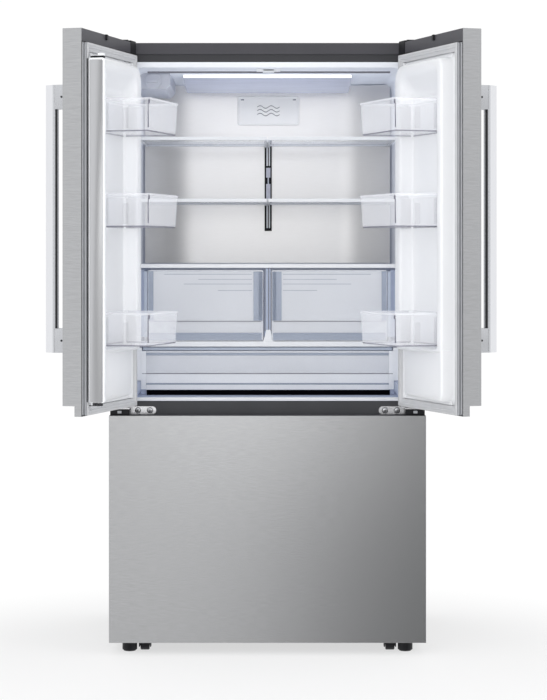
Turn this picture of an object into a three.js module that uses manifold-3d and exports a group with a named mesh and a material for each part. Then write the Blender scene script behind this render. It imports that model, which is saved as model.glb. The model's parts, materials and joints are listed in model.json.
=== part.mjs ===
// French door refrigerator with a bottom freezer drawer.
// Millimetres, +Z up. x = 0 is the cabinet's centre plane, y = 0 the outer face of the closed
// doors and drawer (the cabinet lies behind it, at +y), z = 0 the floor.
// The doors stand open at rest, and the drawers are pushed in.

import * as THREE from 'three';
import { mergeVertices } from 'three/addons/utils/BufferGeometryUtils.js';
import Module from 'manifold-3d';

const wasm = await Module();
wasm.setup();

// ---- Driving dimensions ----
const HALF = 454;                 // half of the cabinet's width
const GAP = 0.3;                  // clearance between pieces that touch
const SHEET = 1.2;                // skin thickness

const CASE_FRONT = 70;            // front flange plane
const CASE_BACK = 728;
const CASE_TOP = 1752;
const CASE_BOTTOM = 38;
const FLANGE_IN = 402;            // inner edge of the steel front flange, from the centre
const FLANGE_TOP = 1707;
const TRIM_TOP = 1762;

const LINER_HALF = 392;           // half of the fresh food space's width
const LINER_FLOOR = 731;
const LINER_CEILING = 1690;
const LINER_BACK = 665;
const WALL = 3;                   // liner wall

const FREEZER_HALF = 388;
const FREEZER_FLOOR = 78;
const FREEZER_CEILING = 642;
const FREEZER_STEP = 330;         // height of the step over the machine space
const FREEZER_DEEP = 640;
const FREEZER_SHALLOW = 505;

const RAIL_BOTTOM = 655;          // centre rail between the two spaces
const RAIL_TOP = 726;

const DOOR_THICK = 54;
const DOOR_FREE = 450.5;          // free edge, from the cabinet's side
const DOOR_TOP = 1757;
const CAP_BOTTOM = 1722;
const DOOR_LOW = 714;             // lower edge of the inner part of the door
const DOOR_STEP = 742;            // lower edge of the outer part, over the finger space
const STEP_DEPTH = 34;
const PANEL_INSET = 9.5;          // inner panel's inset on the hinge side
const HINGE_X = 420;
const HINGE_Y = 19;
const LEFT_OPEN = 105.63;         // rest angles, degrees from closed
const RIGHT_OPEN = 109.27;

const DYKE = { outer0: 64.5, inner0: 106.5, inner1: 359.5, outer1: 392.5, top: 1683, y: 88 };
const BIN = { d0: 109.5, d1: 356.5, y0: 54.6, y1: 216, height: 91, wall: 3 };
const BIN_FLOORS = { upper: 1483, middle: 1224, lower: 900 };
const GASKET = { d0: 35, d1: 442, low: 717, high: 1719, width: 23, y: 68.5 };
const HANDLE = { d0: 404, d1: 433, front: -62, back: -28, low: 884, high: 1607, post: 66 };

const MULLION = { x0: -31.3, x1: -14.2, y0: 70.5, y1: 115.5, low: 751, high: 1677 };

const SHELF_FRONT = 232;
const SHELF_REAR = 622;
const SHELF_FLOORS = { upper: 1489, middle: 1305 };
const BOX_FRONT = 240;            // front plane of the drawers' boxes
const BOX_REAR = 600;

const DRAWER_TOP = 688;
const DRAWER_BACK = 54;

// ---- Materials ----
function finish(color, roughness, metalness, opacity = 1) {
  return new THREE.MeshStandardMaterial({
    color, roughness, metalness, opacity, transparent: opacity < 1,
  });
}
const steel = () => finish('#b4b6b8', 0.32, 0.9);
const greyPaint = () => finish('#5a5c60', 0.5, 0.2);
const darkPaint = () => finish('#3f4043', 0.55, 0.2);
const white = () => finish('#e3e7ee', 0.4, 0);
const clear = () => finish('#dfe6ef', 0.08, 0, 0.45);
const black = () => finish('#141416', 0.5, 0);
const rubber = () => finish('#b9bbbf', 0.8, 0);
const zinc = () => finish('#c9cbce', 0.35, 0.9);
const foam = () => finish('#d8cfa8', 0.95, 0);

// ---- Solids ----
function toSolid(geometry) {
  const bare = geometry.index ? geometry.toNonIndexed() : geometry.clone();
  bare.deleteAttribute('normal');
  bare.deleteAttribute('uv');
  const merged = mergeVertices(bare, 1e-4);
  return new wasm.Manifold(new wasm.Mesh({
    numProp: 3,
    vertProperties: new Float32Array(merged.attributes.position.array),
    triVerts: new Uint32Array(merged.index.array),
  }));
}

function join(...geometries) {
  return geometries.map(toSolid).reduce((a, b) => a.add(b));
}

function cut(body, ...tools) {
  const start = body instanceof THREE.BufferGeometry ? toSolid(body) : body;
  return tools.reduce((a, b) => a.subtract(toSolid(b)), start);
}

function piece(name, shape, material) {
  let geometry = shape;
  if (!(shape instanceof THREE.BufferGeometry)) {
    const { numProp, vertProperties, triVerts } = shape.getMesh();
    const points = [];
    for (let i = 0; i < vertProperties.length; i += numProp) {
      points.push(vertProperties[i], vertProperties[i + 1], vertProperties[i + 2]);
    }
    geometry = new THREE.BufferGeometry();
    geometry.setAttribute('position', new THREE.Float32BufferAttribute(points, 3));
    geometry.setIndex([...triVerts]);
    geometry.computeVertexNormals();
  }
  const mesh = new THREE.Mesh(geometry, material);
  mesh.name = name;
  return mesh;
}

// Box between two limits on each axis, given in either order.
function box(xa, xb, ya, yb, za, zb) {
  const geometry = new THREE.BoxGeometry(Math.abs(xb - xa), Math.abs(yb - ya), Math.abs(zb - za));
  return geometry.translate((xa + xb) / 2, (ya + yb) / 2, (za + zb) / 2);
}

function outline(points) {
  return new THREE.Shape(points.map(([a, b]) => new THREE.Vector2(a, b)));
}

// Rectangle with its own corner radius at each corner: low-left, low-right, top-right, top-left.
function roundedRect(a0, a1, b0, b1, radii) {
  const [ll, lr, tr, tl] = radii;
  const shape = new THREE.Shape();
  shape.moveTo(a0 + ll, b0);
  shape.lineTo(a1 - lr, b0);
  if (lr) shape.absarc(a1 - lr, b0 + lr, lr, -Math.PI / 2, 0, false);
  shape.lineTo(a1, b1 - tr);
  if (tr) shape.absarc(a1 - tr, b1 - tr, tr, 0, Math.PI / 2, false);
  shape.lineTo(a0 + tl, b1);
  if (tl) shape.absarc(a0 + tl, b1 - tl, tl, Math.PI / 2, Math.PI, false);
  shape.lineTo(a0, b0 + ll);
  if (ll) shape.absarc(a0 + ll, b0 + ll, ll, Math.PI, 1.5 * Math.PI, false);
  return shape;
}

function extruded(shape, depth, steps = 4) {
  return new THREE.ExtrudeGeometry(shape, { depth, bevelEnabled: false, curveSegments: steps });
}

// Outline in (x, y), swept up from z0 to z1.
function sweepZ(shape, z0, z1) {
  return extruded(shape, z1 - z0).translate(0, 0, z0);
}

// Outline in (x, z), swept from y0 to y1.
function sweepY(shape, y0, y1) {
  return extruded(shape, y1 - y0).rotateX(Math.PI / 2).translate(0, y1, 0);
}

// Outline in (y, z), swept from x0 to x1.
function sweepX(shape, x0, x1) {
  const turn = new THREE.Matrix4().makeBasis(
    new THREE.Vector3(0, 1, 0), new THREE.Vector3(0, 0, 1), new THREE.Vector3(1, 0, 0));
  return extruded(shape, Math.abs(x1 - x0)).applyMatrix4(turn).translate(Math.min(x0, x1), 0, 0);
}

function rodZ(radius, x, y, z0, z1, sides = 16) {
  return new THREE.CylinderGeometry(radius, radius, z1 - z0, sides)
    .rotateX(Math.PI / 2).translate(x, y, (z0 + z1) / 2);
}

function rodY(radius, x, z, y0, y1, sides = 20) {
  return new THREE.CylinderGeometry(radius, radius, y1 - y0, sides)
    .translate(x, (y0 + y1) / 2, z);
}

// Turned about an axis along x, from a closed profile of (radius, x) points on the axis.
function turnedX(profile, y, z, sides = 24) {
  return new THREE.LatheGeometry(profile.map(([r, x]) => new THREE.Vector2(r, x)), sides)
    .rotateY(Math.PI / sides).rotateZ(-Math.PI / 2).translate(0, y, z);
}

// Open-topped box: outer limits less the inside above the floor.
function openBox(x0, x1, y0, y1, z0, z1, wall, floor = wall) {
  return cut(box(x0, x1, y0, y1, z0, z1),
    box(x0 + wall, x1 - wall, y0 + wall, y1 - wall, z0 + floor, z1 + 1));
}

// ---- Cabinet ----
function cabinetCase() {
  return cut(
    box(-HALF, HALF, CASE_FRONT, CASE_BACK, CASE_BOTTOM, CASE_TOP),
    box(-HALF + SHEET, HALF - SHEET, CASE_FRONT + SHEET, CASE_BACK + 1,
      CASE_BOTTOM - 1, CASE_TOP - SHEET),
    box(-FLANGE_IN, FLANGE_IN, CASE_FRONT - 1, CASE_FRONT + 5, CASE_BOTTOM - 1, FLANGE_TOP));
}

function insulation() {
  const front = CASE_FRONT + WALL + GAP;
  const side = HALF - SHEET - GAP;
  const fresh = LINER_HALF + WALL + GAP;
  const cold = FREEZER_HALF + WALL + GAP;
  const over = WALL + GAP;
  return cut(
    box(-side, side, front, CASE_BACK - GAP, CASE_BOTTOM + 5, CASE_TOP - SHEET - GAP),
    box(-fresh, fresh, front - 1, LINER_BACK + over, LINER_FLOOR - over, LINER_CEILING + over),
    box(-cold, cold, front - 1, FREEZER_SHALLOW + over, FREEZER_FLOOR - over, FREEZER_CEILING),
    box(-cold, cold, front - 1, FREEZER_DEEP + over, FREEZER_STEP - over, FREEZER_CEILING + over),
    box(-FLANGE_IN, FLANGE_IN, front - 1, CASE_FRONT + 24 + GAP, RAIL_BOTTOM - GAP, RAIL_TOP));
}

function fridgeLiner() {
  const edge = FLANGE_IN - GAP;
  const shell = join(
    box(-edge, edge, CASE_FRONT, CASE_FRONT + WALL, RAIL_TOP + GAP, FLANGE_TOP - GAP),
    box(-LINER_HALF - WALL, LINER_HALF + WALL, CASE_FRONT, LINER_BACK + WALL,
      LINER_FLOOR - WALL, LINER_CEILING + WALL));
  const hollow = cut(shell, box(-LINER_HALF, LINER_HALF, CASE_FRONT - 1, LINER_BACK,
    LINER_FLOOR, LINER_CEILING));
  const sill = box(-LINER_HALF - 1, LINER_HALF + 1, CASE_FRONT, CASE_FRONT + 9,
    LINER_FLOOR - 1, LINER_FLOOR + 5);
  const guide = box(-65, 65, 78, 135, LINER_CEILING - 3, LINER_CEILING + 1);
  const runners = [-1, 1].map((s) => box(s * 377, s * (LINER_HALF + 1), 82, 640, 743, 775));
  return [sill, guide, ...runners].map(toSolid).reduce((a, b) => a.add(b), hollow);
}

function freezerLiner() {
  const edge = FLANGE_IN - GAP;
  const deep = [FREEZER_STEP, FREEZER_CEILING];
  const shell = join(
    box(-edge, edge, CASE_FRONT, CASE_FRONT + WALL, 66, RAIL_BOTTOM - GAP),
    box(-FREEZER_HALF - WALL, FREEZER_HALF + WALL, CASE_FRONT, FREEZER_SHALLOW + WALL,
      FREEZER_FLOOR - WALL, FREEZER_CEILING),
    box(-FREEZER_HALF - WALL, FREEZER_HALF + WALL, CASE_FRONT, FREEZER_DEEP + WALL,
      deep[0] - WALL, deep[1] + WALL));
  return cut(shell,
    box(-FREEZER_HALF, FREEZER_HALF, CASE_FRONT - 1, FREEZER_SHALLOW, FREEZER_FLOOR, deep[1]),
    box(-FREEZER_HALF, FREEZER_HALF, CASE_FRONT - 1, FREEZER_DEEP, deep[0], deep[1]));
}

// Rear sheet with two rows of vent slots low down.
function rearCover() {
  const slots = [];
  for (let row = 0; row < 2; row += 1) {
    for (let i = 0; i < 9; i += 1) {
      const x = -320 + i * 80;
      slots.push(box(x - 28, x + 28, CASE_BACK - 1, CASE_BACK + 5, 110 + row * 60, 118 + row * 60));
    }
  }
  return cut(box(-HALF + 4, HALF - 4, CASE_BACK + GAP, CASE_BACK + 2, 44, CASE_TOP - 4), ...slots);
}

// Base plate with a front lip, and a pair of cheeks for each roller.
const ROLLER = { radius: 18, width: 26, x: 356, y: 105, rear: 690, axle: 4 };
function basePlate() {
  const cheeks = [];
  for (const y of [ROLLER.y, ROLLER.rear]) {
    for (const s of [-1, 1]) {
      for (const x of [ROLLER.x - 18, ROLLER.x + 14.5]) {
        cheeks.push(box(s * x, s * (x + 3.5), y - 12, y + 12, 10, CASE_BOTTOM + 2));
      }
    }
  }
  const plate = join(
    box(-HALF + 2, HALF - 2, CASE_FRONT + 1.5, CASE_BACK - 0.5, CASE_BOTTOM + 0.5, 42.5),
    box(-FLANGE_IN + GAP, FLANGE_IN - GAP, CASE_FRONT, CASE_FRONT + 3, CASE_BOTTOM + 0.5, 65.7),
    ...cheeks);
  const bores = [ROLLER.y, ROLLER.rear].map((y) => turnedX(
    [[0, -400], [ROLLER.axle + 0.5, -400], [ROLLER.axle + 0.5, 400], [0, 400]],
    y, ROLLER.radius, 16));
  return cut(plate, ...bores);
}

function topTrim() {
  const section = outline([
    [66, 1729], [69.7, 1729], [69.7, CASE_TOP + GAP], [115, CASE_TOP + GAP],
    [115, 1757], [106, TRIM_TOP], [68, TRIM_TOP], [66, TRIM_TOP - 2]]);
  return sweepX(section, -385.8, 385.8);
}

// Steel sheet behind the shelves, flat in the middle and curving forward at both sides.
function backPanel() {
  const flat = 230, reach = 386, bulge = 40, rear = LINER_BACK - 0.6, steps = 7;
  const front = [];
  for (let i = -steps; i <= steps; i += 1) {
    const t = Math.abs(i) / steps;
    front.push([Math.sign(i) * (flat + (reach - flat) * t), rear - bulge * t * t]);
  }
  const line = [...front.slice(0, steps), [-flat, rear], [flat, rear], ...front.slice(steps + 1)];
  const ring = [...line, ...line.slice().reverse().map(([x, y]) => [x, y - 2])];
  return sweepZ(outline(ring), 1124, 1686);
}

function shelfLadder() {
  const slots = [];
  for (let z = 1238; z < 1500; z += 22) {
    for (const s of [-1, 1]) slots.push(box(s * 2.6, s * 6.6, 640, 670, z, z + 12));
  }
  return cut(box(-10, 10, 652.5, 662.1, 1225, 1508), ...slots);
}

function airFilterCover() {
  const plate = sweepY(roundedRect(-97, 97, 1560, 1652, [6, 6, 6, 6]), 655, 662);
  const clips = [-1, 1].map((s) => box(s * 68, s * 80, 652.5, 656, 1636, 1641));
  return join(plate, ...clips);
}

// Water filter: an angular housing under the ceiling, with a round cartridge in its front.
const FILTER = { x: -340, z: 1665, radius: 22 };
function filterHousing() {
  const section = outline([
    [-391, 1689.5], [-391, 1643], [-304, 1641], [-290, 1656], [-290, 1689.5]]);
  return cut(sweepY(section, 250, 612), rodY(FILTER.radius, FILTER.x, FILTER.z, 240, 560, 24));
}

function filterCartridge() {
  return join(
    rodY(FILTER.radius - 1.2, FILTER.x, FILTER.z, 246, 556, 24),
    rodY(FILTER.radius + 1.5, FILTER.x, FILTER.z, 240, 249.2, 24),
    box(FILTER.x - 17, FILTER.x + 17, 232, 241, FILTER.z - 3.5, FILTER.z + 3.5));
}

function lampLens() {
  const section = outline([
    [303, 1689.6], [303, 1684], [318, 1679], [516, 1657], [529, 1660], [529, 1689.6]]);
  return sweepX(section, -253, 253);
}

// Half-width cantilever shelf: glass with a front trim, side rails, a rear bar and a hook.
function shelf(side, z) {
  const inner = 2, outer = 382;
  const strip = (x0, x1, y0, y1, z0, z1) => box(side * x0, side * x1, y0, y1, z + z0, z + z1);
  return join(
    strip(inner, outer, SHELF_FRONT, SHELF_FRONT + 14, 1, 11),
    strip(inner, inner + 5, SHELF_FRONT + 10, SHELF_REAR, 0, 10),
    strip(outer - 5, outer, SHELF_FRONT + 10, SHELF_REAR, 0, 10),
    strip(inner + 1, outer - 1, SHELF_FRONT + 10, SHELF_REAR - 4, 5, 9),
    strip(inner, outer, SHELF_REAR - 20, SHELF_REAR, 2, 16),
    strip(inner, inner + 6, SHELF_REAR - 2, 652, 0, 12));
}

// Full-width glass cover over the crispers, in a white frame.
function crisperCover() {
  const half = LINER_HALF - 6, rear = 650;
  return join(
    box(-half, half, 234, 248, 1110, 1122),
    box(-half, half, rear - 14, rear, 1110, 1122),
    box(-half, -half + 14, 240, rear - 5, 1110, 1122),
    box(half - 14, half, 240, rear - 5, 1110, 1122),
    box(-half + 5, half - 5, 240, rear - 5, 1114, 1118));
}

// Shelf that carries the crispers, with the divider between them and a guide at each side.
function lowerShelf() {
  const half = LINER_HALF - 4;
  return join(
    box(-half, half, 238, 650, 876, 892),
    box(-9, 9, 240, 640, 891, 1109),
    ...[-1, 1].map((s) => box(s * 361, s * 367, 262, 640, 891, 1000)));
}

function crisper(side) {
  const [x0, x1] = side < 0 ? [-356, -12] : [12, 356];
  const body = openBox(x0 + 2, x1 - 2, BOX_FRONT, BOX_REAR, 895, 1098, 2.5);
  const face = cut(box(x0, x1, BOX_FRONT - 5, BOX_FRONT + 2, 893.5, 1104),
    box(x0 + 90, x1 - 90, BOX_FRONT - 10, BOX_FRONT - 2, 1080, 1096));
  return body.add(face);
}

function pantryDrawer() {
  const half = 372, low = 748, high = 863, wall = 3;
  const hull = sweepY(roundedRect(-half, half, low, high, [22, 22, 0, 0]),
    BOX_FRONT - 4, BOX_REAR + 36);
  const inside = sweepY(
    roundedRect(-half + wall, half - wall, low + wall, high + 1, [20, 20, 0, 0]),
    BOX_FRONT, BOX_REAR + 33);
  return cut(hull, inside);
}

// Top hinge under its cover: the arm reaches over the door, and the pin goes down into it.
function topHinge(side) {
  const section = outline([
    [66, 1729], [69.7, 1729], [69.7, CASE_TOP + GAP], [185, CASE_TOP + GAP],
    [185, 1758], [176, 1765], [66, 1765]]);
  return join(
    sweepX(section, side * 386.3, side * 453.5),
    box(side * 399, side * 441, 3, 68, DOOR_TOP + 1.2, 1765),
    rodZ(5, side * HINGE_X, HINGE_Y, 1735, DOOR_TOP + 2));
}

// Centre hinge bracket: a rounded plate on the rail, an arm under the door and a pin up into it.
function centreHinge(side) {
  const plateShape = side < 0
    ? roundedRect(-440, -322, 687.5, 710.5, [0, 11, 11, 0])
    : roundedRect(322, 440, 687.5, 710.5, [11, 0, 0, 11]);
  const screws = [340, 375].map((x) => rodY(7, side * x, 699, 64.5, 68, 12));
  return join(
    sweepY(plateShape, 66.8, 69.7),
    ...screws,
    box(side * 396, side * 440, 6, 68, 706.5, 710.5),
    rodZ(5, side * HINGE_X, HINGE_Y, 709, DOOR_STEP + 16));
}

function levelingFoot(side) {
  const x = side * 400, y = 94;
  return join(
    rodZ(18, x, y, 0, 4, 20),
    rodZ(21.5, x, y, 3, 30, 20),
    rodZ(5, x, y, 29, CASE_BOTTOM, 12));
}

function frontRoller(side) {
  const { radius, width, x, axle } = ROLLER;
  const profile = [
    [0, -18], [axle, -18], [axle, -width / 2], [radius - 2, -width / 2], [radius, -width / 2 + 2],
    [radius, width / 2 - 2], [radius - 2, width / 2], [axle, width / 2], [axle, 18], [0, 18]];
  return turnedX(profile, ROLLER.y, radius).translate(side * x, 0, 0);
}

// Two rollers on one axle across the rear.
function rearRollers() {
  const { radius, width, x, axle } = ROLLER;
  const wheel = (c) => [
    [axle, c - width / 2], [radius - 2, c - width / 2], [radius, c - width / 2 + 2],
    [radius, c + width / 2 - 2], [radius - 2, c + width / 2], [axle, c + width / 2]];
  return turnedX([[0, -x - 18], [axle, -x - 18], ...wheel(-x), ...wheel(x), [axle, x + 18],
    [0, x + 18]], ROLLER.rear, radius);
}

// ---- Doors: d is measured from the cabinet's side towards the free edge ----
function doorX(side, d) {
  return side * (HALF - d);
}

function doorBox(side, d0, d1, y0, y1, z0, z1) {
  return box(doorX(side, d0), doorX(side, d1), y0, y1, z0, z1);
}

function doorSection(side, points) {
  return outline(points.map(([d, y]) => [doorX(side, d), y]));
}

// Folded steel pan: front, both sides, and a stepped bottom.
function doorSkin(side) {
  const t = SHEET, free = DOOR_FREE, hingeDepth = DOOR_THICK - 10;
  const outer = join(
    doorBox(side, 0, free, 0, STEP_DEPTH + 1, DOOR_STEP, DOOR_TOP),
    doorBox(side, 0, free, STEP_DEPTH, DOOR_THICK, DOOR_LOW, DOOR_TOP));
  return cut(outer,
    doorBox(side, t, free - t, t, DOOR_THICK + 1, DOOR_STEP + t, DOOR_TOP + 1),
    doorBox(side, t, free - t, STEP_DEPTH + t, DOOR_THICK + 1, DOOR_LOW + t, DOOR_TOP + 1),
    doorBox(side, -1, PANEL_INSET, hingeDepth, DOOR_THICK + 1, DOOR_LOW - 1, DOOR_TOP + 1),
    rodZ(6.2, side * HINGE_X, HINGE_Y, DOOR_STEP - 5, DOOR_STEP + 5));
}

function panelSection(side, y0) {
  const d0 = SHEET + GAP, d1 = DOOR_FREE - SHEET - GAP, back = DOOR_THICK;
  return doorSection(side, [
    [d0, y0], [d1, y0], [d1, back], [PANEL_INSET, back],
    [PANEL_INSET, back - 10], [d0, back - 10]]);
}

// Inner panel on its foam core, with the raised dyke round the bins and a low ramp below them.
function doorPanel(side) {
  const { outer0, inner0, inner1, outer1, top, y } = DYKE;
  const low = 893, x = (d) => doorX(side, d);
  const [xa, xb] = [Math.min(x(outer0), x(outer1)), Math.max(x(outer0), x(outer1))];
  const radii = side < 0 ? [0, 0, 24, 50] : [0, 0, 50, 24];
  const ring = cut(
    sweepY(roundedRect(xa, xb, low, top, radii), DOOR_THICK - 1, y),
    doorBox(side, inner0, inner1, DOOR_THICK - 2, y + 1, low - 1, top - 32));
  const ramp = sweepZ(doorSection(side, [
    [outer0 + 10, 53], [outer0 + 10, 60], [inner0, 64], [inner1, y - 2], [inner1 + 8, y],
    [outer1 - 4, y], [outer1, y - 6], [outer1, 53]]), 750, low + 1);
  const core = join(
    sweepZ(panelSection(side, SHEET + GAP), DOOR_STEP + SHEET + GAP, CAP_BOTTOM - GAP),
    sweepZ(panelSection(side, STEP_DEPTH + SHEET + GAP), DOOR_LOW + SHEET + GAP, DOOR_STEP + 5));
  return cut(core.add(ring).add(toSolid(ramp)),
    rodZ(6.2, side * HINGE_X, HINGE_Y, DOOR_STEP, DOOR_STEP + 20));
}

function doorCap(side) {
  return cut(sweepZ(panelSection(side, SHEET + GAP), CAP_BOTTOM, DOOR_TOP),
    rodZ(6.2, side * HINGE_X, HINGE_Y, 1731, DOOR_TOP + 1));
}

function doorGasket(side) {
  const { d0, d1, low, high, width: w, y } = GASKET;
  return cut(
    doorBox(side, d0, d1, DOOR_THICK + GAP, y, low, high),
    doorBox(side, d0 + w, d1 - w, DOOR_THICK, y + 1, low + w, high - w));
}

function doorHandle(side) {
  const { d0, d1, front, back, low, high, post } = HANDLE;
  const bar = sweepZ(doorSection(side, [
    [d0, front + 6], [d0 + 4, front], [d1 - 17, front], [d1 - 15, front + 3], [d1, front + 25],
    [d1, back], [d0, back]]), low, high);
  const posts = [[low, low + post], [high - post, high]].map(([z0, z1]) => cut(
    doorBox(side, d0, d1, back - 2, -GAP, z0, z1),
    new THREE.CylinderGeometry(2.2, 2.2, 8, 10).rotateZ(Math.PI / 2)
      .translate(doorX(side, d1), -9.5, (z0 + z1) / 2)));
  return posts.reduce((a, b) => a.add(b), toSolid(bar));
}

function doorBin(side, floor) {
  const { d0, d1, y0, y1, height, wall } = BIN;
  const draft = 5, toe = 14;
  const hull = sweepX(outline([
    [y0, floor], [y1 - draft - toe, floor], [y1 - draft - 3, floor + 5], [y1 - draft, floor + toe],
    [y1, floor + height], [y0, floor + height]]), doorX(side, d0), doorX(side, d1));
  const inside = sweepX(outline([
    [y0 + wall, floor + wall], [y1 - draft - toe, floor + wall],
    [y1 - draft - 3 - wall, floor + toe], [y1 - wall, floor + height + 1],
    [y0 + wall, floor + height + 1]]), doorX(side, d0 + wall), doorX(side, d1 - wall));
  return cut(hull, inside);
}

// Folded mullion beside the left door's free edge: a body with guide blocks at both ends,
// and a steel strip on the face that the gaskets close on when it is swung out.
const MULLION_AXIS = { x: -18, y: 75 };
function mullionBody() {
  const { x0, x1, y0, y1, low, high } = MULLION;
  const section = outline([
    [x0 + 3, y0], [x1 - 1.5, y0], [x1, y0 + 1.5], [x1, y1 - 2], [x1 - 2, y1], [x0 + 3, y1],
    [x0, y1 - 3], [x0, y0 + 3]]);
  return join(
    sweepZ(section, low, high),
    box(x0 + 3, x1 - 3, 82, 106, low - 8, low + 1),
    box(x0 + 3, x1 - 3, 96, 112, high - 1, high + 8));
}

function mullionFace() {
  const { x1, y0, y1, low, high } = MULLION;
  return box(x1 + GAP, x1 + 1.3, y0 + 4.5, y1 - 4.5, low + 6, high - 7);
}

// ---- Freezer drawer ----
function drawerSkin() {
  const t = SHEET;
  return cut(
    box(-HALF, HALF, 0, DRAWER_BACK - 6, CASE_BOTTOM, DRAWER_TOP),
    box(-HALF + t, HALF - t, t, DRAWER_BACK, CASE_BOTTOM + t, DRAWER_TOP + 1));
}

// Inner panel on its foam core, with a raised plate that carries the basket.
function drawerPanel() {
  const half = HALF - SHEET - GAP;
  return join(
    box(-half, half, SHEET + GAP, DRAWER_BACK - 6.3, CASE_BOTTOM + SHEET + GAP, RAIL_BOTTOM),
    box(-half + 4, half - 4, DRAWER_BACK - 7, DRAWER_BACK, CASE_BOTTOM + 6, RAIL_BOTTOM),
    sweepY(roundedRect(-372, 372, 96, 622, [20, 20, 20, 20]), DRAWER_BACK - 1, 72));
}

// Top cap with the channel that the fingers pull on.
function drawerCap() {
  const floor = RAIL_BOTTOM + GAP, top = DRAWER_TOP - GAP, front = SHEET + GAP;
  return sweepX(outline([
    [front, floor], [DRAWER_BACK - 6.3, floor], [DRAWER_BACK - 6.3, top], [36, top],
    [36, floor + 6], [6, floor + 6], [6, top], [front, top]]),
  -HALF + SHEET + GAP, HALF - SHEET - GAP);
}

function drawerGasket() {
  return cut(
    box(-419, 419, DRAWER_BACK + GAP, 69.3, 50, 653),
    box(-404, 404, DRAWER_BACK, 70, 63, 640));
}

function cabinetRail(side) {
  return box(side * 380.5, side * (FREEZER_HALF - GAP), 84, 484, 394, 426);
}

function middleRail(side) {
  return box(side * 374, side * 380, 80, 474, 398, 422);
}

// ---- Assembly ----
const fridge = new THREE.Group();

fridge.add(
  piece('cabinet_case', cabinetCase(), greyPaint()),
  piece('insulation', insulation(), foam()),
  piece('fridge_liner', fridgeLiner(), white()),
  piece('freezer_liner', freezerLiner(), white()),
  piece('rear_cover', rearCover(), zinc()),
  piece('base_plate', basePlate(), darkPaint()),
  piece('centre_rail', box(-FLANGE_IN + GAP, FLANGE_IN - GAP, CASE_FRONT, CASE_FRONT + 24,
    RAIL_BOTTOM, RAIL_TOP), darkPaint()),
  piece('top_trim', topTrim(), greyPaint()),
  piece('back_panel', backPanel(), steel()),
  piece('shelf_ladder', shelfLadder(), zinc()),
  piece('air_filter_cover', airFilterCover(), white()),
  piece('filter_housing', filterHousing(), white()),
  piece('filter_cartridge', filterCartridge(), white()),
  piece('lamp_lens', lampLens(), clear()),
  piece('crisper_cover', crisperCover(), clear()),
  piece('lower_shelf', lowerShelf(), white()),
  piece('pantry_drawer', pantryDrawer(), clear()),
  piece('rear_rollers', rearRollers(), black()));

for (const [label, side] of [['left', -1], ['right', 1]]) {
  fridge.add(
    piece(`${label}_top_hinge`, topHinge(side), black()),
    piece(`${label}_centre_hinge`, centreHinge(side), zinc()),
    piece(`${label}_leveling_foot`, levelingFoot(side), black()),
    piece(`${label}_front_roller`, frontRoller(side), black()),
    piece(`${label}_crisper`, crisper(side), clear()),
    piece(`${label}_cabinet_rail`, cabinetRail(side), zinc()),
    piece(`${label}_middle_rail`, middleRail(side), zinc()));
  for (const [level, floor] of Object.entries(SHELF_FLOORS)) {
    fridge.add(piece(`${label}_${level}_shelf`, shelf(side, floor), clear()));
  }

  // The door's pieces are drawn closed, then turned open about the hinge pins.
  const door = new THREE.Group();
  door.position.set(-side * HINGE_X, -HINGE_Y, 0);
  door.add(
    piece(`${label}_door_skin`, doorSkin(side), steel()),
    piece(`${label}_door_panel`, doorPanel(side), white()),
    piece(`${label}_door_cap`, doorCap(side), greyPaint()),
    piece(`${label}_door_gasket`, doorGasket(side), rubber()),
    piece(`${label}_door_handle`, doorHandle(side), steel()));
  for (const [level, floor] of Object.entries(BIN_FLOORS)) {
    door.add(piece(`${label}_${level}_bin`, doorBin(side, floor), clear()));
  }
  if (side < 0) {
    door.add(
      piece('mullion_body', mullionBody(), white()),
      piece('mullion_face', mullionFace(), steel()));
  }
  const pivot = new THREE.Group();
  pivot.position.set(side * HINGE_X, HINGE_Y, 0);
  pivot.rotation.z = THREE.MathUtils.degToRad(side < 0 ? -LEFT_OPEN : RIGHT_OPEN);
  pivot.add(door);
  fridge.add(pivot);
}

fridge.add(
  piece('drawer_skin', drawerSkin(), steel()),
  piece('drawer_panel', drawerPanel(), white()),
  piece('drawer_cap', drawerCap(), greyPaint()),
  piece('drawer_gasket', drawerGasket(), rubber()),
  piece('freezer_basket', openBox(-360, 360, 76, 470, 95, 385, 2.5), white()),
  piece('freezer_tray', openBox(-355, 355, 80, 430, 440, 560, 2.5), white()));

export default fridge;
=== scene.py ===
"""Looks for a french door refrigerator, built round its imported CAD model.

+Z up, the front towards -Y. x = 0 is the cabinet's centre plane, y = 0 the outer face of the closed
doors and z = 0 the floor. Shapes are drawn in millimetres and become metres when they are built.
Lights, camera and materials are in metres. Door pieces are drawn with the door closed, and each
object's matrix then swings it to where the door stands at rest.
"""

import json
import math

import bmesh
import bpy
from mathutils import Matrix, Vector


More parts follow.
